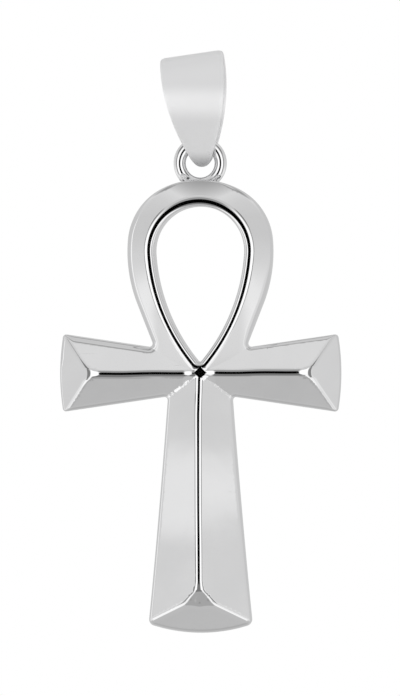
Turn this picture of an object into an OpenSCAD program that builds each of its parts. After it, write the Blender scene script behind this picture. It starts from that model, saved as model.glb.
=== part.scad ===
// Ankh pendant in polished silver: a cast cross with a bevelled loop, a ring soldered to the
// loop's top, and a tapered strap folded into a bail that the ring hangs from.
// The origin is where a chain would seat, inside the bail's fold. Front is -Y, up is +Z.

/* [Cross] */
// Thickness of the casting at its ridges
thick = 2.2; // [1.8:0.05:3]
// Wall height at the arm ends and at the foot of the stem
edge_h = 1.1; // [0.7:0.05:1.4]
// Width over both arms
arm_span = 18.5; // [15:0.1:24]
// Height of the arms where they cross the stem
arm_root = 2.46; // [2:0.02:3.2]
// Height of the arms at their ends
arm_end = 5.12; // [4.2:0.02:6.4]
// How far each arm end bows outwards
arm_bow = 0.22; // [0.1:0.01:0.5]
// Distance from an arm end to the end of its ridge
arm_hip = 1.93; // [1.2:0.01:3]
// Length of the stem below the arms' ridge
stem_len = 17.1; // [12:0.1:24]
// Width of the stem at the arms' ridge
stem_root = 3.92; // [3.2:0.02:4.8]
// Width of the stem at its foot
stem_foot = 6.82; // [5:0.02:8]
// How far the foot bows downwards
foot_bow = 0.58; // [0.2:0.01:1]
// Distance from the foot to the end of the stem's ridge
foot_hip = 2.28; // [1.6:0.01:3.4]
// Rounding radius of the ridges
ridge_r = 0.6; // [0.1:0.01:0.7]

/* [Loop] */
// Radius of the crest round the top of the loop
crest_r = 3.3; // [2.8:0.05:4.2]
// Radius of the crest down the sides
crest_side_r = 12.7; // [10:0.1:16]
// Angle from the top at which the crest's side curve takes over
crest_turn = 94; // [90:1:98]
// Radius of the crest at its lower tip
crest_tip_r = 0.55; // [0.45:0.01:0.9]
// Height of that tip above the arms' ridge
crest_tip_h = 0.38; // [0.3:0.01:0.8]
// Width of the sloping face at the top, from crest to outer edge
face_top = 1.4; // [1:0.01:2]
// Width of the sloping face at the widest place
face_side = 1.46; // [1.1:0.01:2]
// Radius of the outer edge at the shoulders
shoulder_r = 4.1; // [3.4:0.05:4.6]
// Radius of the outer edge down the sides
side_r = 9.4; // [8:0.1:12]
// Angle at which the outer edge runs straight on to the arms
leg_turn = 111.4; // [108:0.1:115]
// Distance from the crest to the wall of the opening
lip = 0.36; // [0.25:0.01:0.45]

/* [Ring] */
// Wire diameter of the soldered ring
wire = 0.8; // [0.6:0.02:0.9]
// Radius of the ring at the middle of its wire
ring_r = 1.35; // [1.3:0.01:1.5]
// Depth that the ring's wire is let into the loop
ring_sink = 0.26; // [0.1:0.01:0.4]
// Height of the ring's plane above the flat back
ring_depth = 0.92; // [0.6:0.01:1.3]
// Reach of the solder on each side of the ring
solder_reach = 1.36; // [1.1:0.01:1.6]

/* [Bail] */
// Height of the bail above the middle of the ring's wire
bail_top = 5.84; // [5:0.02:8]
// Thickness of the strap
strap_t = 0.45; // [0.35:0.01:0.5]
// Widest width of the strap
strap_w = 4.16; // [3.8:0.02:5]
// Radius of the strap's tapering edges
strap_edge_r = 14; // [12.8:0.1:16]
// Distance from the top to the widest place
strap_wide_at = 0.8; // [0.5:0.05:1.2]
// Outer radius of the fold at the top
fold_r = 1.4; // [1.2:0.01:1.6]
// Angle from the top at which the fold opens into the leaves
fold_turn = 62; // [55:1:68]
// Angle from the top at which the leaves run straight
leaf_turn = 99.5; // [98:0.5:101]
// Outer radius of the closed bottom
foot_r = 1.2; // [1.15:0.01:1.35]
// Distance of that bottom's centre below the ring's wire
foot_drop = 0.4; // [0.36:0.01:0.6]
// Lean of the bail to the left, as it hangs
lean = 5.6; // [0:0.1:8]

/* [Hidden] */
$fn = 96;
step = 4;
// How far cutting shapes run past what they cut
over = 1;
// Base of the roof sections, so far down that a steep slope can't cross it
roof_base = -2 * thick;
silver = "gainsboro";
polished = "silver";

// Slopes of the bevelled faces, as rise over run
arm_slope = (thick - edge_h) / (arm_end / 2);
stem_slope = (thick - edge_h) / (stem_foot / 2);
arm_hip_slope = (thick - edge_h) / (arm_hip - arm_bow);
foot_hip_slope = (thick - edge_h) / (foot_hip - foot_bow);
face_slope = arm_slope;

// Centres of the crest's arcs, above the arms' ridge
function dir(a) = [sin(a), cos(a)];
side_gap = crest_side_r - crest_r;
tip_turn = 180 - asin(sin(crest_turn) * side_gap / (crest_side_r - crest_tip_r));
tip_c = crest_tip_h + crest_tip_r;
side_c = [-side_gap * sin(crest_turn), tip_c - cos(tip_turn) * (crest_side_r - crest_tip_r)];
top_c = side_c[1] + cos(crest_turn) * side_gap;

// Arcs of the outer edge
loop_top = top_c + crest_r + face_top;
loop_half_w = crest_r + face_side;
crown_turn = 26;
shoulder_turn = 85;
crown_r = shoulder_r + (loop_half_w - shoulder_r) / sin(crown_turn);
crown_c = [0, loop_top - crown_r];
shoulder_c = crown_c + dir(crown_turn) * (crown_r - shoulder_r);
flank_c = shoulder_c + dir(shoulder_turn) * (shoulder_r - side_r);
leg_start = flank_c + dir(leg_turn) * side_r;
edge_arcs = [
    [crown_c, crown_r, 0, crown_turn],
    [shoulder_c, shoulder_r, crown_turn, shoulder_turn],
    [flank_c, side_r, shoulder_turn, leg_turn]];

// Places of the ring and the bail
ring_c = loop_top + ring_r - ring_sink;
seat_h = bail_top - strap_t;
pivot = [seat_h * sin(lean), 0, -seat_h * cos(lean)];

// Arcs of the bail's side profile, about the middle of the ring's wire
fold_c = bail_top - fold_r;
leaf_bend = leaf_turn - fold_turn;
leaf_r = (foot_r - (fold_c + foot_drop) * cos(leaf_turn) - fold_r * cos(leaf_bend)) / (1 - cos(leaf_bend));
leaf_c = [0, fold_c] + dir(fold_turn) * (fold_r - leaf_r);

// A point on an arc, moved outwards by a distance
function on_arc(s, out) = s[0] + (s[1] + out) * dir(s[2]);

// Stations along an arc, each with its centre, radius and angle
function arc(c, r, from, to) =
    let (n = max(1, round(abs(to - from) / step)))
    [for (k = [0:n]) [c, r, from + (to - from) * k / n]];

// A half outline from the top down the right side, closed with its mirror image
function closed(half) =
    let (n = len(half))
    concat(half, [for (k = [n - 1:-1:0]) if (half[k][0] > 0.001)
        [for (i = [0:len(half[k]) - 1]) i == 0 ? -half[k][0] : half[k][i]]]);

// Stations of the crest, from the top of the loop to its lower tip
crest = concat(
    arc([0, top_c], crest_r, 0, crest_turn),
    arc(side_c, crest_side_r, crest_turn + step / 4, tip_turn),
    arc([0, tip_c], crest_tip_r, tip_turn + 8, 180));

// Distance from a point inside a circle to that circle, along a direction
function to_circle(p, d, c, r) =
    let (v = p - c, b = v * d)
    sqrt(b * b - v * v + r * r) - b;

// Distance from a crest station to the outer edge, which ends at the arms' ridge
function reach(s) =
    let (
        p = on_arc(s, 0),
        d = dir(s[2]),
        hits = [for (a = edge_arcs)
            let (t = to_circle(p, d, a[0], a[1]), v = p + t * d - a[0], turn = atan2(v[0], v[1]))
            if (turn >= a[2] && turn < a[3]) t],
        leg = (leg_start - p) * dir(leg_turn) / (d * dir(leg_turn)),
        ridge = d[1] < 0 ? -p[1] / d[1] : leg)
    len(hits) > 0 ? hits[0] : min(leg, ridge);

// The bail seen from the side, moved inwards by a distance
function strap_line(in) = closed([for (s = concat(
    arc([0, fold_c], fold_r, 0, fold_turn),
    arc(leaf_c, leaf_r, fold_turn + step / 2, leaf_turn),
    arc([0, -foot_drop], foot_r, leaf_turn, 180))) on_arc(s, -in)]);

// A ring of points at one height and one distance outside the crest
function crest_ring(out, z) = closed([for (s = crest) concat(on_arc(s, out), z)]);

// A solid through rings of equal count, from the lowest to the highest
module loft(rings) {
    n = len(rings[0]);
    last = len(rings) - 1;
    sides = [for (g = [0:last - 1]) for (i = [0:n - 1])
        let (j = (i + 1) % n)
        [g * n + i, g * n + j, (g + 1) * n + j, (g + 1) * n + i]];
    floor_face = [[for (i = [n - 1:-1:0]) i]];
    roof_face = [[for (i = [0:n - 1]) last * n + i]];
    polyhedron([for (g = rings) for (p = g) p], concat(sides, floor_face, roof_face));
}

// Section of a ridge: two slopes that meet in a rounding
function ridge_section(half, slope) =
    let (tilt = atan(slope), c = thick - ridge_r / cos(tilt), steps = 6)
    concat([[-half, roof_base], [-half, thick - half * slope]],
        [for (k = [0:steps])
            let (a = tilt * (2 * k / steps - 1))
            [ridge_r * sin(a), c + ridge_r * cos(a)]],
        [[half, thick - half * slope], [half, roof_base]]);

// Sloping face of the loop, rounded over at the crest
module loop_face() {
    tilt = atan(face_slope);
    flank = lip * sin(tilt);
    flank_h = thick - lip * (1 - cos(tilt));
    function edge_ring(foot) = closed([for (s = crest)
        let (t = reach(s))
        concat(on_arc(s, t), foot ? 0 : flank_h - (t - flank) * face_slope)]);
    loft([
        edge_ring(true),
        edge_ring(false),
        crest_ring(flank, flank_h),
        crest_ring(lip * sin(tilt / 2), thick - lip * (1 - cos(tilt / 2))),
        crest_ring(0, thick)]);
}

// The opening, with the rounded lip that leads into it
module opening() {
    function lip_ring(a) = crest_ring(-lip * sin(a), thick - lip * (1 - cos(a)));
    loft([
        crest_ring(-lip, -over),
        lip_ring(90),
        lip_ring(65),
        lip_ring(40),
        lip_ring(18),
        crest_ring(0, thick),
        crest_ring(0, thick + over)]);
}

// Both arms, with a ridge along the middle and a hip at each end
module arms() {
    half = arm_span / 2;
    side_len = half - arm_bow;
    end_r = ((arm_end / 2) ^ 2 + arm_bow ^ 2) / (2 * arm_bow);
    hip_end = thick - (arm_hip + over) * arm_hip_slope;
    intersection() {
        linear_extrude(thick) for (s = [-1, 1])
            intersection() {
                polygon([
                    [0, -arm_root / 2],
                    [0, arm_root / 2],
                    [s * side_len, arm_end / 2],
                    [s * (half + over), arm_end / 2],
                    [s * (half + over), -arm_end / 2],
                    [s * side_len, -arm_end / 2]]);
                translate([s * (half - end_r), 0]) circle(end_r);
            }
        rotate([90, 0, 90]) linear_extrude(2 * (half + over), center = true)
            polygon(ridge_section(arm_end, arm_slope));
        rotate([90, 0, 0]) linear_extrude(2 * arm_end, center = true)
            polygon([
                [-half - over, roof_base],
                [-half - over, hip_end],
                [-half + arm_hip, thick],
                [half - arm_hip, thick],
                [half + over, hip_end],
                [half + over, roof_base]]);
    }
}

// The stem, flaring down to a bowed foot with a hip
module stem() {
    side_len = stem_len - foot_bow;
    top = crest_tip_h + lip;
    widen = (stem_foot - stem_root) / 2 / side_len;
    foot_arc_r = ((stem_foot / 2) ^ 2 + foot_bow ^ 2) / (2 * foot_bow);
    hip_end = thick - (foot_hip + over) * foot_hip_slope;
    intersection() {
        linear_extrude(thick) intersection() {
            polygon([
                [-stem_root / 2 + widen * top, top],
                [stem_root / 2 - widen * top, top],
                [stem_foot / 2, -side_len],
                [stem_foot / 2, -stem_len - over],
                [-stem_foot / 2, -stem_len - over],
                [-stem_foot / 2, -side_len]]);
            translate([0, foot_arc_r - stem_len]) circle(foot_arc_r);
        }
        translate([0, -stem_len - over, 0]) rotate([90, 0, 180]) linear_extrude(stem_len + top + 2 * over)
            polygon(ridge_section(stem_foot, stem_slope));
        rotate([90, 0, 90]) linear_extrude(2 * stem_foot, center = true)
            polygon([
                [-stem_len - over, roof_base],
                [-stem_len - over, hip_end],
                [-stem_len + foot_hip, thick],
                [top + over, thick],
                [top + over, roof_base]]);
    }
}

// The ring let into the top of the loop, with solder in the corners beside it
module ring() {
    translate([0, ring_c, ring_depth]) rotate_extrude() translate([ring_r, 0]) circle(wire / 2);
    translate([0, 0, ring_depth - wire / 2]) linear_extrude(wire) for (s = [-1, 1])
        polygon([
            [0, loop_top - 2 * ring_sink],
            [s * ring_r, loop_top - 2 * ring_sink],
            [s * solder_reach, loop_top - ring_sink / 2],
            [s * (ring_r - wire / 4), loop_top + ring_sink],
            [0, loop_top - ring_sink / 2]]);
}

module ankh() {
    color(silver) translate(pivot) rotate([90, 0, 0])
        translate([0, -ring_c - ring_r, -ring_depth]) {
            difference() {
                union() {
                    loop_face();
                    arms();
                    stem();
                }
                opening();
            }
            ring();
        }
}

module bail() {
    half_w = strap_w / 2;
    color(polished) translate(pivot) rotate([0, -lean, 0]) intersection() {
        rotate([90, 0, 90]) linear_extrude(strap_w + over, center = true) difference() {
            polygon(strap_line(0));
            polygon(strap_line(strap_t));
        }
        rotate([90, 0, 0]) linear_extrude(4 * leaf_c[1], center = true)
            translate([0, bail_top - strap_wide_at]) intersection() {
                translate([strap_edge_r - half_w, 0]) circle(strap_edge_r, $fn = 180);
                translate([half_w - strap_edge_r, 0]) circle(strap_edge_r, $fn = 180);
            }
    }
}

ankh();
bail();
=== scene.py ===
# Ankh pendant in polished silver: a cast cross whose soldered ring swings on a folded strap bail.
import math
import random

import bmesh
import bpy
import numpy as np
from mathutils import Matrix, Vector, noise


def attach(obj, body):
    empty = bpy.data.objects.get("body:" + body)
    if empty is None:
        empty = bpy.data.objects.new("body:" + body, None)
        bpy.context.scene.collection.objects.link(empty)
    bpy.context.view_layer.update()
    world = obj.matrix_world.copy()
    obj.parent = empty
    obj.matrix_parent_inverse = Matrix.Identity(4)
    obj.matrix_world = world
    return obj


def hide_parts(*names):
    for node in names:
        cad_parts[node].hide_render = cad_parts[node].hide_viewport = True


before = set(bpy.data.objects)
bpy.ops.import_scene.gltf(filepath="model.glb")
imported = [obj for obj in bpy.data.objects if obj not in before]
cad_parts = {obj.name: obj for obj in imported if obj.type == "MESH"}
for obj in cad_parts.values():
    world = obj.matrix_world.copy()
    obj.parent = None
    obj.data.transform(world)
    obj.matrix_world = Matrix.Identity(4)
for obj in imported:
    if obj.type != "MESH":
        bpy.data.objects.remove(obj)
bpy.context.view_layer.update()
scene = bpy.context.scene
mm = 0.001
same = 1e-4      # millimetres within which two points are one
farAway = 1e9
perMetre = 1000.0   # millimetres


# ---- helpers for outlines and meshes, all in millimetres until a piece is finished

def towards(turn):
    a = math.radians(turn)  # clockwise from straight up
    return Vector((math.sin(a), math.cos(a)))


def spinOn(bm, geom, centre, turn, steps, axis=(0, 0, 1)):
    made = bmesh.ops.spin(bm, geom=geom, cent=centre, axis=axis, angle=math.radians(turn), steps=steps)
    return made["geom_last"]


def roundedCorner(before, corner, after, radius, steps):
    toBefore, toAfter = (before - corner).normalized(), (after - corner).normalized()
    half = toBefore.angle(toAfter) / 2
    middle = corner + (toBefore + toAfter).normalized() * radius / math.sin(half)
    first = corner + toBefore * radius / math.tan(half) - middle
    last = corner + toAfter * radius / math.tan(half) - middle
    turn = first.angle_signed(last)
    return [middle + Matrix.Rotation(-turn * k / steps, 2) @ first for k in range(steps + 1)]


def chainUp(bm, points, closed=False):
    verts = [bm.verts.new((p[0], p[1], p[2] if len(p) > 2 else 0)) for p in points]
    pairs = list(zip(verts, verts[1:])) + ([(verts[-1], verts[0])] if closed else [])
    return verts, [bm.edges.new(pair) for pair in pairs]


def mirrorOver(bm, axis):
    bmesh.ops.mirror(bm, geom=bm.verts[:] + bm.edges[:] + bm.faces[:], matrix=Matrix.Identity(4),
                     merge_dist=-1, axis=axis)
    bmesh.ops.remove_doubles(bm, verts=bm.verts, dist=same)


def coordinates(bm):
    return np.array([v.co[:] for v in bm.verts]).T


def midpoints(edges):
    return np.array([((e.verts[0].co + e.verts[1].co) / 2)[:2] for e in edges]).T


def bothSides(half):
    return half + [Vector((-p.x, p.y)) for p in reversed(half) if p.x > 1e-6]


def inOrder(bm):
    # spin and extrude list edges and faces in another order on each run, so they are made anew in a fixed one
    bm.verts.index_update()
    points = [v.co[:] for v in bm.verts]
    faces = sorted([v.index for v in f.verts] for f in bm.faces)
    bm.clear()
    verts = [bm.verts.new(point) for point in points]
    for face in faces:
        bm.faces.new([verts[k] for k in face])
    bm.normal_update()


def finishPiece(bm, name, place, body, nodes):
    inOrder(bm)
    bmesh.ops.transform(bm, matrix=Matrix.Scale(mm, 4) @ place, verts=bm.verts)
    mesh = bpy.data.meshes.new(name)
    bm.to_mesh(mesh)
    bm.free()
    piece = bpy.data.objects.new(name, mesh)
    scene.collection.objects.link(piece)
    mesh.shade_smooth()
    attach(piece, body)
    if nodes:
        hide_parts(*nodes)
    return piece


# ---- the cast cross

cross = {
    # outline, in millimetres and in degrees clockwise from straight up
    "thick": 2.2,          # at the ridges
    "armSpan": 18.5, "armRoot": 2.46, "armEnd": 5.12, "armBow": 0.22, "armHip": 1.93,
    "stemLength": 17.1, "stemRoot": 3.92, "stemFoot": 6.82, "stemBow": 0.045,
    "footBow": 0.58, "footHip": 2.28, "cornerRound": 0.22, "heelRound": 0.44,
    "crestRadius": 3.3, "crestSideRadius": 12.7, "crestTurn": 94, "tipRadius": 0.55, "tipHeight": 0.38,
    "faceTop": 1.4, "faceSide": 1.46, "crownTurn": 26, "shoulderRadius": 4.1, "shoulderTurn": 85,
    "sideRadius": 9.4, "legTurn": 111.4,
    "lip": 0.36,           # from the crest in to the wall of the opening
    "middle": (0.526, 0.92, -20.5065),   # the arms' ridge over the flat back
    # slopes in degrees; the loop's face is loopLess flatter than the arms'
    "armTilt": 23.3, "stemTilt": 17.9, "armHipTilt": 32.7, "footHipTilt": 32.9, "loopLess": 1,
    "faceGrow": 5.5, "growFrom": 0.3, "growOver": 2,   # degrees per millimetre that the loop's face steepens
    # how the ridges roll over: degrees at each distance, and the blend into the face
    "ridgeReach": [0, 0.085, 0.15, 0.2], "ridgeTurn": [0, 3.3, 8, 12], "ridgeBlend": 0.035,
    "crestBroad": 1.15, "crestBroader": 0.35, "crestOver": (2.5, 7.5),   # the crest rolls over more broadly
    # softness along the hips, and more where they meet the ridges
    "armRound": 0.12, "armStar": 0.16, "armStarArea": 0.3, "armFlare": 0.7, "armFlareReach": 0.9,
    "footRound": 0.16, "footStar": 0.6, "footStarArea": 0.4, "footFlare": 0.9, "footFlareReach": 1.3,
    # the hand-filed ridges sink and wander a little
    "armDip": 0.05, "armDipOver": (0.3, 1.15), "stemDip": 0.17, "stemDipOver": (3.2, 11.5),
    "armLean": 0.009, "armWander": (0.012, 1.7, 0.6),   # size, radians per millimetre and start
    "stemLean": -0.06, "stemLeanOver": (0.4, 3), "stemLeanLoss": 0.6, "stemLossOver": (8, 14),
    "stemEnd": 0.6,        # slope that ends the stem's faces above the arms' ridge
    "loopTopOver": (8.0, 11.0), "loopTopSlope": 0.05, "loopTopFrom": 0.2,
    "flat": 0.42, "flatAt": (0.07, 0.02), "flatTilt": 6.5, "flatReach": 0.4,   # diamond at the crossing
    "lipPower": 3, "lipTopPower": 0.8,   # squareness of the lip, and what is added at the loop's top
    "groupSoft": 0.006, "loopSoft": 0.01, "crossingReach": 0.85,   # soft blend of the faces at the crossing
    # rolled rims, wider where they were polished harder: side, out from, start, end, share
    "rimRound": 0.25, "rimExtra": 0.2, "backRound": 0.12,
    "rimWide": [(-1, (1.5, 3.0), (0.2, 1.0), (10.0, 11.6), 1), (1, (1.5, 3.0), (1.8, 3.0), (5.5, 7.5), 0.7)],
    "armRimLoss": 0.5, "armRimOver": (1, 0.4), "topRimLoss": 0.6, "topRimOver": (12.0, 12.5),
    # the mesh: even grid, and closer rows beside the crest, the rim, the ridges and the hips
    "gridStep": 0.15, "gridAcross": (-9.2, 9.2), "gridUp": (-17.05, 12.65),
    "lipRows": [1, 0.995, 0.98, 0.955, 0.92, 0.87, 0.81, 0.74, 0.66, 0.57, 0.47, 0.37, 0.27, 0.18, 0.09],
    "crestRows": [0, 0.035, 0.07, 0.11, 0.15, 0.175, 0.2, 0.22, 0.24, 0.3, 0.36],
    "rimRows": [0.006, 0.022, 0.048, 0.085, 0.13, 0.19], "rimBeyond": 0.12,
    "ridgeRows": [0.035, 0.07, 0.11, 0.15, 0.175, 0.2, 0.24],
    "hipRows": [-0.1, -0.06, -0.03, 0, 0.03, 0.06, 0.1],
    "tooClose": 0.002, "shortEdge": 0.05, "backEdge": 0.2,
}
lipGroup, softGroup = 4, 5   # places of the lip and of the soft blend in what facesBelow gives


def crossArcs(c):
    sideGap = c["crestSideRadius"] - c["crestRadius"]
    reach = c["crestSideRadius"] - c["tipRadius"]
    tipTurn = 180 - math.degrees(math.asin(math.sin(math.radians(c["crestTurn"])) * sideGap / reach))
    tip = Vector((0, c["tipHeight"] + c["tipRadius"]))
    side = Vector((-sideGap * math.sin(math.radians(c["crestTurn"])),
                   tip.y - math.cos(math.radians(tipTurn)) * reach))
    top = Vector((0, side.y + math.cos(math.radians(c["crestTurn"])) * sideGap))
    crest = [(top, c["crestRadius"], 0, c["crestTurn"], 30),
             (side, c["crestSideRadius"], c["crestTurn"], tipTurn, 40),
             (tip, c["tipRadius"], tipTurn, 180, 8)]
    crownTurn, shoulderTurn = c["crownTurn"], c["shoulderTurn"]
    halfWidth = c["crestRadius"] + c["faceSide"]
    shoulder = c["shoulderRadius"]
    crownRadius = shoulder + (halfWidth - shoulder) / math.sin(math.radians(crownTurn))
    crown = Vector((0, top.y + c["crestRadius"] + c["faceTop"] - crownRadius))
    shoulderAt = crown + towards(crownTurn) * (crownRadius - shoulder)
    flankAt = shoulderAt + towards(shoulderTurn) * (shoulder - c["sideRadius"])
    edge = [(crown, crownRadius, 0, crownTurn, 10),
            (shoulderAt, shoulder, crownTurn, shoulderTurn, 20),
            (flankAt, c["sideRadius"], shoulderTurn, c["legTurn"], 12)]
    return crest, edge


def halfOutline(c, edge):
    points = []
    for centre, radius, start, end, steps in edge:
        points += [centre + towards(start + (end - start) * k / steps) * radius for k in range(steps)]
    centre, radius, start, end, steps = edge[-1]
    legTop = centre + towards(end) * radius
    legRun = Vector((towards(end).y, -towards(end).x))
    armRise = (c["armEnd"] - c["armRoot"]) / 2 / (c["armSpan"] / 2 - c["armBow"])
    t = (legTop.y - c["armRoot"] / 2 - armRise * legTop.x) / (armRise * legRun.x - legRun.y)
    armpit = legTop + legRun * t
    armTip = Vector((c["armSpan"] / 2 - c["armBow"], c["armEnd"] / 2))
    stemRun = (c["stemFoot"] - c["stemRoot"]) / 2 / (c["stemLength"] - c["footBow"])
    x = (c["stemRoot"] / 2 + stemRun * c["armRoot"] / 2) / (1 - stemRun * armRise)
    hip = Vector((x, -c["armRoot"] / 2 - armRise * x))
    heel = Vector((c["stemFoot"] / 2, c["footBow"] - c["stemLength"]))

    def bow(first, last, depth, steps):
        chord = last - first
        out = Vector((-chord.y, chord.x)).normalized() * -depth
        return [first + chord * k / steps + out * (1 - (2 * k / steps - 1) ** 2) for k in range(1, steps)]

    lowTip = Vector((armTip.x, -armTip.y))
    mirrorHeel = Vector((-heel.x, heel.y))
    endBow = bow(armTip, lowTip, -c["armBow"], 24)
    footBow = bow(heel, mirrorHeel, -c["footBow"], 32)
    r = c["cornerRound"]
    points += [legTop]
    points += roundedCorner(legTop, armpit, armTip, r, 6)
    points += roundedCorner(armpit, armTip, endBow[0], r, 8)
    points += endBow[1:-1]
    points += roundedCorner(endBow[-1], lowTip, hip, r, 8)
    points += roundedCorner(lowTip, hip, heel, r, 6)
    points += bow(hip, heel, c["stemBow"], 16)[1:-1]
    past = 3   # the heel's rounding reaches past the bow's first points
    points += roundedCorner(hip, heel, footBow[past - 1], c["heelRound"], 10)
    points += footBow[past:16]
    return points


def halfHole(c, crest):
    points = []
    count = 40
    for centre, radius, start, end, steps in crest:
        points += [centre + towards(start + (end - start) * k / count) * (radius - c["lip"])
                   for k in range(count)]
    return points


def nearestOn(line, x, y):
    # distance from points to an outline, and the outline's own normal there
    a = np.array([p[:] for p in line])
    b = np.roll(a, -1, axis=0)
    run = b - a
    length = np.hypot(run[:, 0], run[:, 1])
    flat = np.stack([-run[:, 1], run[:, 0]], 1) / length[:, None]
    corner = flat + np.roll(flat, 1, axis=0)
    corner /= np.hypot(corner[:, 0], corner[:, 1])[:, None]
    nextCorner = np.roll(corner, -1, axis=0)
    best = np.full(len(x), farAway)
    normal = np.zeros((len(x), 2))
    for k in range(len(a)):
        t = np.clip(((x - a[k, 0]) * run[k, 0] + (y - a[k, 1]) * run[k, 1]) / length[k] ** 2, 0, 1)
        gap = np.hypot(x - a[k, 0] - t * run[k, 0], y - a[k, 1] - t * run[k, 1])
        near = gap < best
        best = np.where(near, gap, best)
        blend = corner[k][None, :] * (1 - t)[:, None] + nextCorner[k][None, :] * t[:, None]
        normal = np.where(near[:, None], blend, normal)
    return best, normal / np.hypot(normal[:, 0], normal[:, 1])[:, None]


def fromCrest(crest, x, y):
    # signed distance outwards from the crest line
    x = np.abs(x)
    gap = np.full(x.shape, farAway)
    for centre, radius, start, end, steps in crest:
        turn = np.degrees(np.arctan2(x - centre.x, y - centre.y))
        far = np.hypot(x - centre.x, y - centre.y) - radius
        inArc = (turn >= start - 1e-6) & (turn <= end + 1e-6)
        gap = np.where(inArc & (np.abs(far) < np.abs(gap)), far, gap)
    return gap


def ease(value, low, high):
    t = np.clip((value - low) / (high - low), 0, 1)
    return t * t * (3 - 2 * t)


def drop(c, distance, tilt, grow=0.0):
    # fall of a face below its ridge: rolled over at the ridge, and grow steepens it further out
    tableEnd, tableRows = 8, 4001
    fine = np.linspace(0, tableEnd, tableRows)
    reach = c["ridgeReach"] + [c["ridgeReach"][-1] + c["ridgeBlend"]]
    turn = np.interp(fine, reach, c["ridgeTurn"] + [tilt])
    slope = np.tan(np.radians(turn + grow * np.clip(fine - c["growFrom"], 0, c["growOver"])))
    fall = np.concatenate([[0], np.cumsum((slope[1:] + slope[:-1]) / 2 * np.diff(fine))])
    return np.interp(np.abs(distance), fine, fall)


def flared(c, distance, tilt, broad):
    # the same fall with a broader ridge, which sinks so that the face beside it stays put
    beyond = 4   # millimetres, well past the rolled ridge
    sink = beyond * tanOf(tilt) - drop(c, beyond, tilt)
    return drop(c, distance / broad, tilt) * broad + (broad - 1) * sink


def softLeast(a, b, k):
    h = np.clip(k - np.abs(a - b), 0, None) / k
    return np.minimum(a, b) - h * h * k / 4


def softMost(a, b, k):
    return -softLeast(-a, -b, k)


def tanOf(degrees):
    return math.tan(math.radians(degrees))


def facesBelow(c, crest, x, y):
    # fall of each face group below the top: arms, stem, loop, the flat where they cross, the lip,
    # and a soft blend of the first four
    size, pace, start = c["armWander"]
    armLine = c["armLean"] * x + size * np.sin(pace * x + start)
    armApex = c["armSpan"] / 2 - c["armHip"]
    armNear = np.exp(-((np.abs(x) - armApex) ** 2 + y ** 2) / c["armStarArea"])
    flare = 1 + c["armFlare"] * ease(np.abs(x), armApex - c["armFlareReach"], armApex)
    arm = softMost(flared(c, y - armLine, c["armTilt"], flare),
                   (np.abs(x) - armApex) * tanOf(c["armHipTilt"]), c["armRound"] + c["armStar"] * armNear)
    arm = arm + c["armDip"] * ease(np.abs(x), *c["armDipOver"])
    stemLoss = 1 - c["stemLeanLoss"] * ease(-y, *c["stemLossOver"])
    stemLine = c["stemLean"] * ease(-y, *c["stemLeanOver"]) * stemLoss
    footApex = c["footHip"] - c["stemLength"]
    footNear = np.exp(-(x ** 2 + (y - footApex) ** 2) / c["footStarArea"])
    flare = 1 + c["footFlare"] * ease(-y, -footApex - c["footFlareReach"], -footApex)
    stem = softMost(flared(c, x - stemLine, c["stemTilt"], flare),
                    (footApex - y) * tanOf(c["footHipTilt"]), c["footRound"] + c["footStar"] * footNear)
    stem = stem + np.clip(y, 0, None) * c["stemEnd"] + c["stemDip"] * ease(-y, *c["stemDipOver"])
    s = fromCrest(crest, x, y)
    top = ease(y, *c["loopTopOver"])
    broad = c["crestBroad"] + c["crestBroader"] * ease(y, *c["crestOver"])
    loop = drop(c, s / broad, c["armTilt"] - c["loopLess"], c["faceGrow"]) * broad
    loop = loop + top * c["loopTopSlope"] * np.clip(s - c["loopTopFrom"], 0, None)
    loop = np.where(s < 0, 0, loop)
    away = np.abs(x - c["flatAt"][0]) + np.abs(y - c["flatAt"][1]) - c["flat"]
    flat = np.clip(away, 0, None) * tanOf(c["flatTilt"]) + np.clip(away - c["flatReach"], 0, None)
    inside = np.clip(-s / c["lip"], 0, 1)
    power = c["lipPower"] + c["lipTopPower"] * top
    lip = c["lip"] * (1 - np.clip(1 - inside ** power, 1e-9, 1) ** (1 / power))
    k = c["groupSoft"]
    soft = softLeast(softLeast(softLeast(arm, stem, k), flat, k), loop, c["loopSoft"])
    return np.stack([arm, stem, loop, flat, lip, soft]), s


def groupOf(faces, s):
    return np.where(s < 0, lipGroup, faces[:lipGroup].argmin(axis=0))


def depthBelow(c, crest, x, y):
    faces, s = facesBelow(c, crest, x, y)
    return np.where(s < 0, faces[lipGroup], np.clip(faces[:lipGroup].min(axis=0), 0, None))


def rimWidth(c, x, y):
    # radius of the rolled outer edge
    wide = 0
    for side, outFrom, start, end, share in c["rimWide"]:
        wide = np.maximum(wide, share * ease(side * x, *outFrom) * ease(y, *start) * (1 - ease(y, *end)))
    armFrom, armTo = (c["armSpan"] / 2 - back for back in c["armRimOver"])
    narrow = 1 - c["armRimLoss"] * ease(np.abs(x), armFrom, armTo)
    narrow = narrow - c["topRimLoss"] * ease(y, *c["topRimOver"])
    return (c["rimRound"] + c["rimExtra"] * wide) * narrow


def onCross(c):
    midX, midY, midZ = c["middle"]
    return Matrix.Translation((midX, midY, midZ)) @ Matrix.Rotation(math.radians(90), 4, "X")


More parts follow.
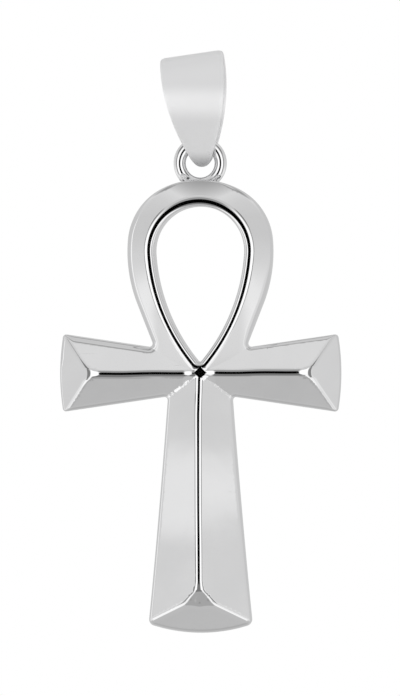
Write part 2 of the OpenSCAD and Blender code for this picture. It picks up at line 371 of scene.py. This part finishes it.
def cutCreases(bm, c, crest):
    # split the edges that cross from one face group to another, and join the new points up
    bm.verts.index_update()
    x, y, z = coordinates(bm)
    faces, s = facesBelow(c, crest, x, y)
    group = groupOf(faces, s)
    atEnd = 0.08   # share of an edge within which its own end is taken
    onCrease = []
    for e in list(bm.edges):
        a, b = e.verts
        one, other = group[a.index], group[b.index]
        if one == other or lipGroup in (one, other):
            continue
        before = faces[other, a.index] - faces[one, a.index]
        after = faces[one, b.index] - faces[other, b.index]
        part = before / (before + after)
        if part < atEnd or part > 1 - atEnd:
            onCrease.append(a if part < 0.5 else b)
        else:
            onCrease.append(bmesh.utils.edge_split(e, a, part)[1])
    # each point once, in a fixed order
    bmesh.ops.connect_verts(bm, verts=list(dict.fromkeys(onCrease)))


def cutAcross(bm, at, turn):
    # one straight cut through the sheet, at a place and along a direction
    a = math.radians(turn)
    bmesh.ops.bisect_plane(bm, geom=bm.verts[:] + bm.edges[:] + bm.faces[:], dist=0.003,
                           plane_co=(at[0], at[1], 0), plane_no=(-math.sin(a), math.cos(a), 0))


def flatSheet(c, crest, outline):
    # a band of fine rows that follows the crest, spun round its arcs and mirrored
    bm = bmesh.new()
    startY = crest[0][0].y + c["crestRadius"]
    rows = [-c["lip"] * share for share in c["lipRows"]] + c["crestRows"]
    verts, edges = chainUp(bm, [(0, startY + row) for row in rows])
    geom = verts + edges
    for centre, radius, start, end, steps in crest:
        geom = spinOn(bm, geom, (centre.x, centre.y, 0), start - end, steps)
    mirrorOver(bm, "X")
    inOrder(bm)
    rim = [e for e in bm.edges if e.is_boundary]
    border = [e for e, gap in zip(rim, fromCrest(crest, *midpoints(rim))) if gap > 0]
    # the outer edge, the sheet between the two, and rows that follow the rim
    verts, edges = chainUp(bm, outline, closed=True)
    band = set(bm.faces)
    bmesh.ops.triangle_fill(bm, edges=border + edges, use_beauty=True)
    sheet = [f for f in bm.faces if f not in band]
    done = 0
    for reach in c["rimRows"]:
        bmesh.ops.inset_region(bm, faces=sheet, thickness=reach - done,
                               use_boundary=True, use_even_offset=True)
        done = reach
    return bm


def cutSheet(bm, c, crest, outline):
    # straight cuts: an even grid, close rows along the ridges, and rows along hips and valleys
    for turn, (low, high) in ((90, c["gridAcross"]), (0, c["gridUp"])):
        count = int((high - low) / c["gridStep"])
        places = [low + (high - low) * k / count for k in range(count + 1)]
        places += [side * row for row in c["ridgeRows"] for side in (-1, 1)] + [0]
        for at in places:
            cutAcross(bm, (at, at), turn)
    armTurn = math.degrees(math.atan2(tanOf(c["armHipTilt"]), tanOf(c["armTilt"])))
    footTurn = math.degrees(math.atan2(tanOf(c["stemTilt"]), tanOf(c["footHipTilt"])))
    valleyTurn = math.degrees(math.atan2(tanOf(c["stemTilt"]), tanOf(c["armTilt"])))
    for side in (-1, 1):
        for row in c["hipRows"]:
            for turn in (armTurn, -armTurn):
                cutAcross(bm, (side * (c["armSpan"] / 2 - c["armHip"] + row), 0), turn)
            cutAcross(bm, (0, c["footHip"] - c["stemLength"] + row), side * footTurn)
        cutAcross(bm, (0, 0), side * valleyTurn)
    bmesh.ops.remove_doubles(bm, verts=bm.verts, dist=c["tooClose"])
    cutCreases(bm, c, crest)
    # a closer mesh where the rim rolls over
    gap = nearestOn(outline, *midpoints(bm.edges))[0]
    lastRow = c["rimRows"][-1]
    near = [e for e, g in zip(bm.edges, gap)
            if lastRow < g < lastRow + c["rimExtra"] + c["rimBeyond"] and e.calc_length() > c["shortEdge"]]
    bmesh.ops.subdivide_edges(bm, edges=near, cuts=1, use_grid_fill=True)


def addBack(bm, c, outline, hole):
    # the sheet becomes the back, and a copy of it, joined by walls, the front
    bmesh.ops.recalc_face_normals(bm, faces=bm.faces)
    if sum(f.normal.z for f in bm.faces) > 0:
        bmesh.ops.reverse_faces(bm, faces=bm.faces)
    made = bmesh.ops.extrude_face_region(bm, geom=bm.faces[:], use_keep_orig=True)
    for v in made["geom"]:
        if isinstance(v, bmesh.types.BMVert):
            v.co.z = 1
    inOrder(bm)
    # the flat of the back needs none of the front's cuts
    x, y, z = coordinates(bm)
    inside = np.minimum(nearestOn(outline, x, y)[0], nearestOn(hole, x, y)[0]) > c["backEdge"]
    plain = [v for v, flat in zip(bm.verts, inside & (z < 0.5)) if flat]
    isPlain = set(plain)
    edges = [e for e in bm.edges if e.verts[0] in isPlain and e.verts[1] in isPlain]
    bmesh.ops.dissolve_limit(bm, angle_limit=0.01, verts=plain, edges=edges)


def rollOver(distance, radius):
    inner = np.clip(radius - distance, 0, radius * 0.9999)
    root = np.sqrt(radius ** 2 - inner ** 2)
    return radius - root, inner / root


def buildCross(c):
    crest, edge = crossArcs(c)
    outline, hole = bothSides(halfOutline(c, edge)), bothSides(halfHole(c, crest))
    bm = flatSheet(c, crest, outline)
    cutSheet(bm, c, crest, outline)
    addBack(bm, c, outline, hole)
    print("cross sheet", len(bm.verts), "points")
    # lift the front to its faces and roll both rims over
    x, y, z = coordinates(bm)
    isFront = z > 0.5
    rimGap, rimOut = nearestOn(outline, x, y)
    holeGap, holeOut = nearestOn(hole, x, y)
    roll, rollSlope = rollOver(rimGap, rimWidth(c, x, y))
    backOut = np.where((rimGap < holeGap)[:, None], rimOut, -holeOut)
    backRoll, backSlope = rollOver(np.minimum(rimGap, holeGap), c["backRound"])
    heights = np.where(isFront, c["thick"] - depthBelow(c, crest, x, y) - roll, backRoll)
    for v, height in zip(bm.verts, heights):
        v.co.z = height
    bmesh.ops.recalc_face_normals(bm, faces=bm.faces)
    place = onCross(c)
    piece = finishPiece(bm, "castCross", place, "ankh", ["ankh"])
    # exact normals: each face takes them from the face group that it belongs to, so creases stay crisp
    mesh = piece.data
    corner = np.empty(len(mesh.loops), dtype=np.int32)
    mesh.loops.foreach_get("vertex_index", corner)
    size = np.empty(len(mesh.polygons), dtype=np.int32)
    mesh.polygons.foreach_get("loop_total", size)
    owner = np.repeat(np.arange(len(size)), size)
    middleX = np.bincount(owner, x[corner]) / size
    middleY = np.bincount(owner, y[corner]) / size
    fronts = np.bincount(owner, isFront[corner]) / size
    faces, s = facesBelow(c, crest, middleX, middleY)
    atCrossing = (s > 0) & (np.abs(middleX) + np.abs(middleY) < c["crossingReach"])
    group = np.where(atCrossing, softGroup, groupOf(faces, s))[owner]
    step = 0.004
    slopeX = (facesBelow(c, crest, x + step, y)[0] - facesBelow(c, crest, x - step, y)[0]) / (2 * step)
    slopeY = (facesBelow(c, crest, x, y + step)[0] - facesBelow(c, crest, x, y - step)[0]) / (2 * step)
    front = np.stack([slopeX[group, corner], slopeY[group, corner], np.ones(len(corner))], 1)
    front[:, :2] += (rimOut * rollSlope[:, None])[corner]
    wall = np.concatenate([backOut, np.zeros((len(x), 1))], 1)[corner]
    back = np.concatenate([backOut * backSlope[:, None], -np.ones((len(x), 1))], 1)[corner]
    allFront, allBack = 0.99, 0.01   # share of a face's corners that are on the front
    part = fronts[owner][:, None]
    normal = np.where(part > allFront, front, np.where(part < allBack, back, wall))
    onWall = (np.minimum(rimGap, holeGap) < 0.001)[corner][:, None]
    normal = np.where(onWall, wall, normal)
    normal /= np.linalg.norm(normal, axis=1)[:, None]
    mesh.normals_split_custom_set((normal @ np.array(place.to_3x3()).T).tolist())
    return piece


crossPiece = buildCross(cross)
print("cross done", len(crossPiece.data.polygons), "faces")


# ---- the ring and its solder

ring = {
    "radius": 1.35, "wire": 0.4, "height": 13.7922, "depth": 0.92, "forward": 0.06,
    "worn": 0.4,           # the wire's front is worn flatter
    # solder: degrees it reaches each way from the bottom, and degrees left bare in the middle
    "solderTurn": 53, "solderGap": 15, "seed": 5,
    "lumps": 34, "lump": 0.2, "lumpSizes": (0.8, 1.15), "lumpLeft": 1.15, "lumpRight": 0.9,
    "lumpTurns": (-2, 2), "lumpOut": (0.02, 0.16), "lumpDepths": (-0.05, 0.08), "squash": (1.2, 0.9, 1.5),
    "voxel": 0.045, "smoothRounds": 2, "pitDepth": 0.035, "pitPace": 7,
}


def buildRing(r, c):
    bm = bmesh.new()
    start = bmesh.ops.create_circle(bm, segments=32, radius=r["wire"])["verts"]
    bmesh.ops.rotate(bm, verts=start, cent=(0, 0, 0), matrix=Matrix.Rotation(math.radians(90), 3, "Y"))
    for v in start:
        v.co.z *= r["worn"] if v.co.z > 0 else 1
    bmesh.ops.translate(bm, verts=start, vec=(0, r["radius"], 0))
    bmesh.ops.spin(bm, geom=bm.verts[:] + bm.edges[:], cent=(0, 0, 0), axis=(0, 0, 1),
                   angle=math.radians(360), steps=96, use_merge=True)
    bmesh.ops.remove_doubles(bm, verts=bm.verts, dist=same)
    bmesh.ops.translate(bm, verts=bm.verts, vec=(0, r["height"], r["depth"] + r["forward"]))
    bmesh.ops.recalc_face_normals(bm, faces=bm.faces)
    return finishPiece(bm, "solderedRing", onCross(c), "ankh", [])


def buildSolder(r, c):
    # lumps of solder along the loop's top, melted together by a voxel remesh
    draw = random.Random(r["seed"])
    squash = Matrix.Diagonal((*r["squash"], 1))
    bm = bmesh.new()
    for k in range(r["lumps"]):
        turn = 180 + (k / (r["lumps"] - 1) * 2 - 1) * r["solderTurn"] + draw.uniform(*r["lumpTurns"])
        at = towards(turn) * (r["radius"] + draw.uniform(*r["lumpOut"])) + Vector((0, r["height"]))
        sideSize = r["lumpLeft"] if turn > 180 else r["lumpRight"]
        size = r["lump"] * draw.uniform(*r["lumpSizes"]) * sideSize
        depth = r["depth"] + draw.uniform(*r["lumpDepths"])
        if abs(turn - 180) < r["solderGap"]:
            continue
        bmesh.ops.create_icosphere(bm, subdivisions=2, radius=size,
                                   matrix=Matrix.Translation((at.x, at.y, depth)) @ squash)
    rough = bpy.data.meshes.new("solderLumps")
    bm.to_mesh(rough)
    lumps = bpy.data.objects.new("solderLumps", rough)
    scene.collection.objects.link(lumps)
    remesh = lumps.modifiers.new("melt", "REMESH")
    remesh.mode = "VOXEL"
    remesh.voxel_size = r["voxel"]
    bm.clear()
    bm.from_mesh(lumps.evaluated_get(bpy.context.evaluated_depsgraph_get()).to_mesh())
    bpy.data.objects.remove(lumps)
    bpy.data.meshes.remove(rough)
    for k in range(r["smoothRounds"]):
        bmesh.ops.smooth_vert(bm, verts=bm.verts, factor=0.5,
                              use_axis_x=True, use_axis_y=True, use_axis_z=True)
    for v in bm.verts:   # small pits and ripples
        v.co += v.normal * r["pitDepth"] * noise.noise(v.co * r["pitPace"])
    bmesh.ops.recalc_face_normals(bm, faces=bm.faces)
    return finishPiece(bm, "solderSeam", onCross(c), "ankh", [])


ringPiece = buildRing(ring, cross)
solderPiece = buildSolder(ring, cross)
print("ring and solder done", len(solderPiece.data.polygons), "faces of solder")


# ---- the strap bail

bail = {
    "top": 5.84, "thick": 0.45, "width": 4.16, "edgeRadius": 14, "wideAt": 0.8,
    "foldRadius": 1.4, "foldTurn": 62, "leafTurn": 99.5, "footRadius": 1.2, "footDrop": 0.4,
    "lean": 5.6, "edgeRound": 0.14, "cornerRound": 0.22, "tipRound": 0.6, "tipShare": 0.4, "skew": 0.045,
    "acrossRows": (0, 0.35, 0.7), "foldSteps": 18, "leafSteps": 24, "straightSteps": 12, "footSteps": 18,
}


def bailHalfWidth(b, up):
    d = up - (b["top"] - b["wideAt"])
    half = math.sqrt(max(b["edgeRadius"] ** 2 - d * d, 0)) - b["edgeRadius"] + b["width"] / 2
    over = up - (b["top"] - b["cornerRound"])
    if over > 0:
        half -= b["cornerRound"] - math.sqrt(max(b["cornerRound"] ** 2 - over ** 2, 0))
    under = b["tipRound"] - b["footDrop"] - b["footRadius"] - up
    if under > 0:
        half -= b["tipShare"] * (b["tipRound"] - math.sqrt(max(b["tipRound"] ** 2 - under ** 2, 0)))
    return half


def buildBail(b):
    t, e = b["thick"] / 2, b["edgeRound"]
    w = b["width"] / 2
    foldC = b["top"] - b["foldRadius"]
    bend = math.radians(b["leafTurn"] - b["foldTurn"])
    leafRadius = (b["footRadius"] - (foldC + b["footDrop"]) * math.cos(math.radians(b["leafTurn"]))
                  - b["foldRadius"] * math.cos(bend)) / (1 - math.cos(bend))
    leafAt = Vector((0, foldC)) + towards(b["foldTurn"]) * (b["foldRadius"] - leafRadius)
    bm = bmesh.new()
    # half section in (across, out), from the middle of the outer face to the middle of the inner one
    section = [Vector((w * share, t)) for share in b["acrossRows"]]
    section += roundedCorner(Vector((0, t)), Vector((w, t)), Vector((w, -t)), e, 6)
    section += roundedCorner(Vector((w, t)), Vector((w, -t)), Vector((0, -t)), e, 6)
    section += [Vector((w * share, -t)) for share in reversed(b["acrossRows"])]
    middle = b["foldRadius"] - t
    verts, edges = chainUp(bm, [(p.x, 0, foldC + middle + p.y) for p in section])
    geom = verts + edges
    geom = spinOn(bm, geom, (0, 0, foldC), b["foldTurn"], b["foldSteps"], axis=(1, 0, 0))
    geom = spinOn(bm, geom, (0, -leafAt.x, leafAt.y), b["leafTurn"] - b["foldTurn"], b["leafSteps"],
                  axis=(1, 0, 0))
    endAt = leafAt + towards(b["leafTurn"]) * (leafRadius - t)
    footAt = Vector((0, -b["footDrop"])) + towards(b["leafTurn"]) * (b["footRadius"] - t)
    run = footAt - endAt
    steps = b["straightSteps"]
    for k in range(steps):
        made = bmesh.ops.extrude_edge_only(bm, edges=[g for g in geom if isinstance(g, bmesh.types.BMEdge)])
        geom = [g for g in made["geom"] if not isinstance(g, bmesh.types.BMFace)]
        bmesh.ops.translate(bm, verts=[g for g in geom if isinstance(g, bmesh.types.BMVert)],
                            vec=(0, -run.x / steps, run.y / steps))
    spinOn(bm, geom, (0, 0, -b["footDrop"]), 180 - b["leafTurn"], b["footSteps"], axis=(1, 0, 0))
    mirrorOver(bm, "Y")
    mirrorOver(bm, "X")
    for v in bm.verts:   # taper
        half = bailHalfWidth(b, v.co.z)
        edge = w - e
        x = abs(v.co.x)
        new = x * (half - e) / edge if x < edge else half - (w - x)
        v.co.x = math.copysign(new, v.co.x) if x > 1e-6 else 0
        v.co.z += b["skew"] * v.co.x * min(1, max(0, v.co.z / b["top"]))   # the fold sits a little askew
    bmesh.ops.recalc_face_normals(bm, faces=bm.faces)
    seat = b["top"] - b["thick"]
    lean = math.radians(b["lean"])
    pivot = (seat * math.sin(lean), 0, -seat * math.cos(lean))
    place = Matrix.Translation(pivot) @ Matrix.Rotation(-lean, 4, "Y")
    return finishPiece(bm, "strapBail", place, "bail", ["bail"])


bailPiece = buildBail(bail)
print("bail done", len(bailPiece.data.polygons), "faces")


# ---- silver

silver = {
    "colour": (0.975, 0.975, 0.98, 1), "polish": 0.035, "crossWave": 0.1, "wireWave": 0.06,
    # polish marks: noise scales, and the noise values over which each mark comes in
    "cloudScale": 420.0, "cloudRough": (0.3, 0.75, 0.0, 0.03), "cloudTone": (0.25, 0.8, 0.965, 1.0),
    "hairs": ((25, 8100.0), (-38, 6300.0)),   # direction in degrees and scale of the scratches
    "hairOver": (0.69, 0.76), "wornOver": (0.42, 0.62), "wornRough": 0.12, "wornDeep": 0.12,
    "waveScale": 750.0, "waveHeight": 0.00002,
    # whitish residue in the valleys: width, start and end in millimetres, then metres
    "residue": 0.55, "residueMetal": 0.35, "residueWide": (0.1, 0.015), "residueUnder": (0.3, 0.55),
    "residueAcross": (2.3, 1.9), "residueFront": (0.0, -0.0003), "residueRight": (0.0002, 0.0008, 1.0, 0.5),
    "gritScale": 5200.0, "gritOver": (0.4, 0.58),
    # satin strap, with a painted highlight band and painted shade towards the tip: heights in millimetres
    "satin": 0.42, "satinMetal": 0.6, "satinWave": 0.3, "satinOffHighlight": (0.79, 0.79, 0.795, 1),
    "satinHighlightAt": -2.78, "satinHighlightOver": (0.1, 1.35),   # height of the painted highlight band, and how it fades out
    # painted shade: the strap's base colour darkens towards its tip
    "satinTipShade": (0.55, 0.55, 0.555, 1), "satinTipShadeOver": (-5.9, -6.9),
    "solder": 0.24, "solderWave": 0.6, "speck": (0.14, 0.14, 0.14, 1), "speckScale": 2600.0,
    "speckOver": (0.56, 0.63),
}


def addNode(tree, kind, inputs, **settings):
    n = tree.nodes.new(kind)
    for key, value in settings.items():
        setattr(n, key, value)
    for key, value in inputs.items():
        if isinstance(value, bpy.types.NodeSocket):
            tree.links.new(value, n.inputs[key])
        else:
            n.inputs[key].default_value = value
    return n.outputs


def ramp(tree, value, low, high, lowOut=0.0, highOut=1.0):
    inputs = {"Value": value, "From Min": low, "From Max": high, "To Min": lowOut, "To Max": highOut}
    return addNode(tree, "ShaderNodeMapRange", inputs, interpolation_type="SMOOTHSTEP")[0]


def calc(tree, operation, a, b=0.0, c=0.0):
    return addNode(tree, "ShaderNodeMath", {0: a, 1: b, 2: c}, operation=operation)[0]


def noiseOf(tree, place, scale, detail):
    return addNode(tree, "ShaderNodeTexNoise", {"Vector": place, "Scale": scale, "Detail": detail})["Fac"]


def mixed(tree, factor, a, b):
    return addNode(tree, "ShaderNodeMix", {"Factor": factor, "A": a, "B": b})["Result"]


def mixedColour(tree, factor, a, b):
    colourOut = 2   # the node's colour result
    return addNode(tree, "ShaderNodeMix", {"Factor": factor, "A": a, "B": b}, data_type="RGBA")[colourOut]


def newGroup(name, numbers, outputs):
    group = bpy.data.node_groups.new(name, "ShaderNodeTree")
    group.interface.new_socket("Place", in_out="INPUT", socket_type="NodeSocketVector")
    for key, value in numbers.items():
        group.interface.new_socket(key, in_out="INPUT", socket_type="NodeSocketFloat").default_value = value
    for key in outputs:
        kind = "NodeSocketVector" if key == "Normal" else "NodeSocketFloat"
        group.interface.new_socket(key, in_out="OUTPUT", socket_type=kind)
    return group, group.nodes.new("NodeGroupInput").outputs, group.nodes.new("NodeGroupOutput").inputs


def makePolishMarks(s):
    # cloudy wear, hair scratches in two directions and a slight hand-finished waviness
    numbers = {"Roughness": 0.05, "Wave": 0.2}
    group, given, put = newGroup("polishMarks", numbers, ["Roughness", "Tone", "Normal"])
    cloud = noiseOf(group, given["Place"], s["cloudScale"], 4.0)
    scratches = []
    for turn, scale in s["hairs"]:
        inputs = {"Vector": given["Place"], "Rotation": (0, math.radians(turn), 0), "Scale": (0.07, 1, 1)}
        along = addNode(group, "ShaderNodeMapping", inputs)["Vector"]
        scratches.append(ramp(group, noiseOf(group, along, scale, 2.0), *s["hairOver"]))
    worn = calc(group, "MULTIPLY", calc(group, "MAXIMUM", *scratches), ramp(group, cloud, *s["wornOver"]))
    rough = calc(group, "ADD", given["Roughness"], ramp(group, cloud, *s["cloudRough"]))
    rough = calc(group, "ADD", rough, calc(group, "MULTIPLY", worn, s["wornRough"]))
    wave = noiseOf(group, given["Place"], s["waveScale"], 1.0)
    height = calc(group, "SUBTRACT", wave, calc(group, "MULTIPLY", worn, s["wornDeep"]))
    inputs = {"Strength": given["Wave"], "Distance": s["waveHeight"], "Height": height}
    bump = addNode(group, "ShaderNodeBump", inputs)["Normal"]
    for key, value in (("Roughness", rough), ("Tone", ramp(group, cloud, *s["cloudTone"])), ("Normal", bump)):
        group.links.new(value, put[key])
    return group


def startSilver(name, marks, roughness, wave):
    mat = bpy.data.materials.new(name)
    mat.use_nodes = True
    tree = mat.node_tree
    shader = tree.nodes["Principled BSDF"]
    shader.inputs["Metallic"].default_value = 1
    place = addNode(tree, "ShaderNodeTexCoord", {})["Object"]
    wear = tree.nodes.new("ShaderNodeGroup")
    wear.node_tree = marks
    tree.links.new(place, wear.inputs["Place"])
    wear.inputs["Roughness"].default_value = roughness
    wear.inputs["Wave"].default_value = wave
    tree.links.new(wear.outputs["Normal"], shader.inputs["Normal"])
    return mat, tree, shader, place, wear.outputs


def tinted(tree, colour, tone):
    return addNode(tree, "ShaderNodeVectorMath", {0: colour[:3], "Scale": tone}, operation="SCALE")["Vector"]


def makeWire(s, marks):
    mat, tree, shader, place, worn = startSilver("wireSilver", marks, s["polish"], s["wireWave"])
    tree.links.new(worn["Roughness"], shader.inputs["Roughness"])
    tree.links.new(tinted(tree, s["colour"], worn["Tone"]), shader.inputs["Base Color"])
    return mat


def makePolished(s, marks, c):
    mat, tree, shader, place, worn = startSilver("polishedSilver", marks, s["polish"], s["crossWave"])
    # whitish polishing residue left in the two valleys under the arms
    axes = addNode(tree, "ShaderNodeSeparateXYZ", {"Vector": place})
    across = calc(tree, "SUBTRACT", calc(tree, "MULTIPLY", axes["X"], perMetre), c["middle"][0])
    across = calc(tree, "ABSOLUTE", across)
    under = calc(tree, "SUBTRACT", c["middle"][2], calc(tree, "MULTIPLY", axes["Z"], perMetre))
    off = calc(tree, "SUBTRACT", calc(tree, "MULTIPLY", across, tanOf(c["stemTilt"])),
               calc(tree, "MULTIPLY", under, tanOf(c["armTilt"])))
    grit = noiseOf(tree, place, s["gritScale"], 3.0)
    valley = ramp(tree, calc(tree, "ABSOLUTE", off), *s["residueWide"])
    valley = calc(tree, "MULTIPLY", valley, ramp(tree, under, *s["residueUnder"]))
    valley = calc(tree, "MULTIPLY", valley, ramp(tree, across, *s["residueAcross"]))
    front = ramp(tree, axes["Y"], *s["residueFront"])
    front = calc(tree, "MULTIPLY", front, ramp(tree, axes["X"], *s["residueRight"]))
    valley = calc(tree, "MULTIPLY", valley, calc(tree, "MULTIPLY", front, ramp(tree, grit, *s["gritOver"])))
    tree.links.new(mixed(tree, valley, worn["Roughness"], s["residue"]), shader.inputs["Roughness"])
    tree.links.new(ramp(tree, valley, 0.0, 1.0, 1.0, s["residueMetal"]), shader.inputs["Metallic"])
    tree.links.new(tinted(tree, s["colour"], worn["Tone"]), shader.inputs["Base Color"])
    return mat


def makeSatin(s, marks):
    mat, tree, shader, place, worn = startSilver("satinSilver", marks, s["satin"], s["satinWave"])
    shader.inputs["Metallic"].default_value = s["satinMetal"]
    # painted highlight: the base colour is brightest in a band where the strap bends outwards
    up = calc(tree, "MULTIPLY", addNode(tree, "ShaderNodeSeparateXYZ", {"Vector": place})["Z"], perMetre)
    away = calc(tree, "ABSOLUTE", calc(tree, "SUBTRACT", up, s["satinHighlightAt"]))
    colour = mixedColour(tree, ramp(tree, away, *s["satinHighlightOver"]), s["colour"], s["satinOffHighlight"])
    # painted shade: darker towards the tip
    colour = mixedColour(tree, ramp(tree, up, *s["satinTipShadeOver"]), colour, s["satinTipShade"])
    tree.links.new(colour, shader.inputs["Base Color"])
    tree.links.new(worn["Roughness"], shader.inputs["Roughness"])
    return mat


def makeSolder(s, marks):
    mat, tree, shader, place, worn = startSilver("solderSilver", marks, s["solder"], s["solderWave"])
    speck = noiseOf(tree, place, s["speckScale"], 2.0)
    colour = mixedColour(tree, ramp(tree, speck, *s["speckOver"]), s["colour"], s["speck"])
    tree.links.new(colour, shader.inputs["Base Color"])
    tree.links.new(worn["Roughness"], shader.inputs["Roughness"])
    return mat


marks = makePolishMarks(silver)
crossPiece.data.materials.append(makePolished(silver, marks, cross))
ringPiece.data.materials.append(makeWire(silver, marks))
bailPiece.data.materials.append(makeSatin(silver, marks))
solderPiece.data.materials.append(makeSolder(silver, marks))
print("silver done")


# ---- studio: floor, surroundings and camera

studio = {
    "azimuth": 3.5, "distance": 0.45, "frameHeight": 0.0457,
    "mirrorAzimuth": -4,   # where a face that looks straight ahead sends the camera's view
    "aim": (0.000539, -0.0005, -0.018865),
    "floorHeight": -0.06, "floorRadius": 0.28, "floorColour": (0.9, 0.9, 0.9, 1), "floorRough": 0.9,
    # elevation in degrees and tone of the soft surroundings that the metal mirrors
    "tones": [(-90, 0.66), (-65, 0.74), (-47, 0.74), (-35, 0.77), (-25, 0.85), (-17, 0.86), (0, 0.82),
              (14, 0.79), (28, 0.79), (40, 0.82), (47, 0.86), (50, 0.78), (54, 0.68), (58, 0.6), (62, 0.6),
              (68, 0.79), (90, 0.78)],
    # soft panels: azimuth and elevation from there, half width, half height, tone
    "panels": [(0, 14, 7, 9, 0.6), (0, -34, 14, 12, 0.65), (0, -15, 10, 13, 0.47),
               (-27.5, 0, 4.5, 15, 0.5), (27.5, 0, 4.5, 15, 0.5), (-28, 20, 8, 8, 0.45),
               (28, 20, 8, 8, 0.45), (-13.5, 0, 7.5, 14, 1.04), (13.5, 0, 7.5, 14, 1.04),
               (-15.5, -15, 5, 9, 1.0), (15.5, -15, 5, 9, 1.0), (-21, -28, 6, 8, 1.0),
               (21, -28, 6, 8, 1.0), (-30.5, -21, 7.5, 6.5, 1.0), (30.5, -21, 7.5, 6.5, 0.95),
               (-78, 0, 5, 30, 1.0), (-140, 0, 48, 60, 0.78), (140, 0, 48, 60, 0.78),
               (0, 0, 6.2, 6.2, 0.02)],
    "panelEdge": (0.85, 1.15),   # shares of a panel's size over which it fades out
    # brighter band: its tone, slope and start of its sinking and widening, its edge, degrees where it ends
    "bandTone": 0.078, "bandSink": (-0.67, 19.5), "bandWide": (0.3, -10.1), "bandEdge": (0.2, 2.5),
    "bandEnd": (55.0, 75.0),
    "gamma": 2.2, "fill": 1.6,   # the tones are as seen; fill lights the floor and matt surfaces
}


def makeFloor(s):
    bm = bmesh.new()
    bmesh.ops.create_circle(bm, cap_ends=True, segments=96, radius=s["floorRadius"])
    bmesh.ops.translate(bm, verts=bm.verts, vec=(0, 0, s["floorHeight"]))
    mesh = bpy.data.meshes.new("floor")
    bm.to_mesh(mesh)
    bm.free()
    floor = bpy.data.objects.new("floor", mesh)
    scene.collection.objects.link(floor)
    mat = bpy.data.materials.new("paleFloor")
    mat.use_nodes = True
    shader = mat.node_tree.nodes["Principled BSDF"]
    shader.inputs["Base Color"].default_value = s["floorColour"]
    shader.inputs["Roughness"].default_value = s["floorRough"]
    mesh.materials.append(mat)
    floor.visible_glossy = False


def makeWorld(s):
    world = bpy.data.worlds.new("softStudio")
    scene.world = world
    world.use_nodes = True
    tree = world.node_tree
    tree.nodes.clear()
    direction = addNode(tree, "ShaderNodeTexCoord", {})["Generated"]

    def along(axis):
        inputs = {0: direction, 1: axis}
        return addNode(tree, "ShaderNodeVectorMath", inputs, operation="DOT_PRODUCT")["Value"]

    def sums(operation, *values):
        return calc(tree, operation, *values)

    def soft(value, start, end):
        return ramp(tree, value, start, end, 1.0, 0.0)

    a = math.radians(s["mirrorAzimuth"])
    turn = sums("ARCTAN2", along((math.cos(a), math.sin(a), 0)), along((math.sin(a), -math.cos(a), 0)))
    azimuth = sums("DEGREES", turn)
    elevation = sums("DEGREES", sums("ARCSINE", along((0, 0, 1))))
    sky = addNode(tree, "ShaderNodeValToRGB", {"Fac": sums("MULTIPLY_ADD", elevation, 1 / 180, 0.5)})
    stops = tree.nodes[-1].color_ramp.elements
    for k, (height, tone) in enumerate(s["tones"]):
        stop = stops[k] if k < 2 else stops.new(1)
        stop.position = (height + 90) / 180
        stop.color = (tone, tone, tone, 1)
    tone = sky["Color"]
    # a brighter band along the horizon that sinks towards the sides
    aside = sums("ABSOLUTE", azimuth)
    sunk = sums("MINIMUM", sums("MULTIPLY_ADD", aside, *s["bandSink"]), 0.0)
    wide = sums("MAXIMUM", sums("MULTIPLY_ADD", aside, *s["bandWide"]), 1.0)
    off = sums("ABSOLUTE", sums("SUBTRACT", elevation, sunk))
    band = sums("MULTIPLY", soft(sums("DIVIDE", off, wide), *s["bandEdge"]), soft(aside, *s["bandEnd"]))
    tone = sums("MULTIPLY_ADD", band, s["bandTone"], tone)
    for panelAz, panelEl, width, height, panelTone in s["panels"]:
        x = sums("DIVIDE", sums("SUBTRACT", azimuth, panelAz), width)
        y = sums("DIVIDE", sums("SUBTRACT", elevation, panelEl), height)
        far = sums("SQRT", sums("MULTIPLY_ADD", x, x, sums("MULTIPLY", y, y)))
        tone = mixed(tree, soft(far, *s["panelEdge"]), tone, panelTone)
    glow = sums("POWER", tone, s["gamma"])
    ray = addNode(tree, "ShaderNodeLightPath", {})
    glow = mixed(tree, ray["Is Diffuse Ray"], glow, s["fill"])
    glow = mixed(tree, ray["Is Camera Ray"], glow, 1.0)
    light = addNode(tree, "ShaderNodeBackground", {"Color": glow})["Background"]
    addNode(tree, "ShaderNodeOutputWorld", {"Surface": light})


def makeCamera(s):
    cam = bpy.data.objects.new("camera", bpy.data.cameras.new("camera"))
    scene.collection.objects.link(cam)
    a = math.radians(s["azimuth"])
    away = Vector((math.sin(a), -math.cos(a), 0))
    cam.location = Vector(s["aim"]) + away * s["distance"]
    cam.rotation_mode = "QUATERNION"
    cam.rotation_quaternion = (-away).to_track_quat("-Z", "Y")
    cam.data.lens = cam.data.sensor_width * s["distance"] / s["frameHeight"]
    cam.data.clip_start, cam.data.clip_end = 0.01, 10
    scene.camera = cam


makeFloor(studio)
makeWorld(studio)
makeCamera(studio)
scene.view_settings.view_transform = "Standard"
print("studio done")
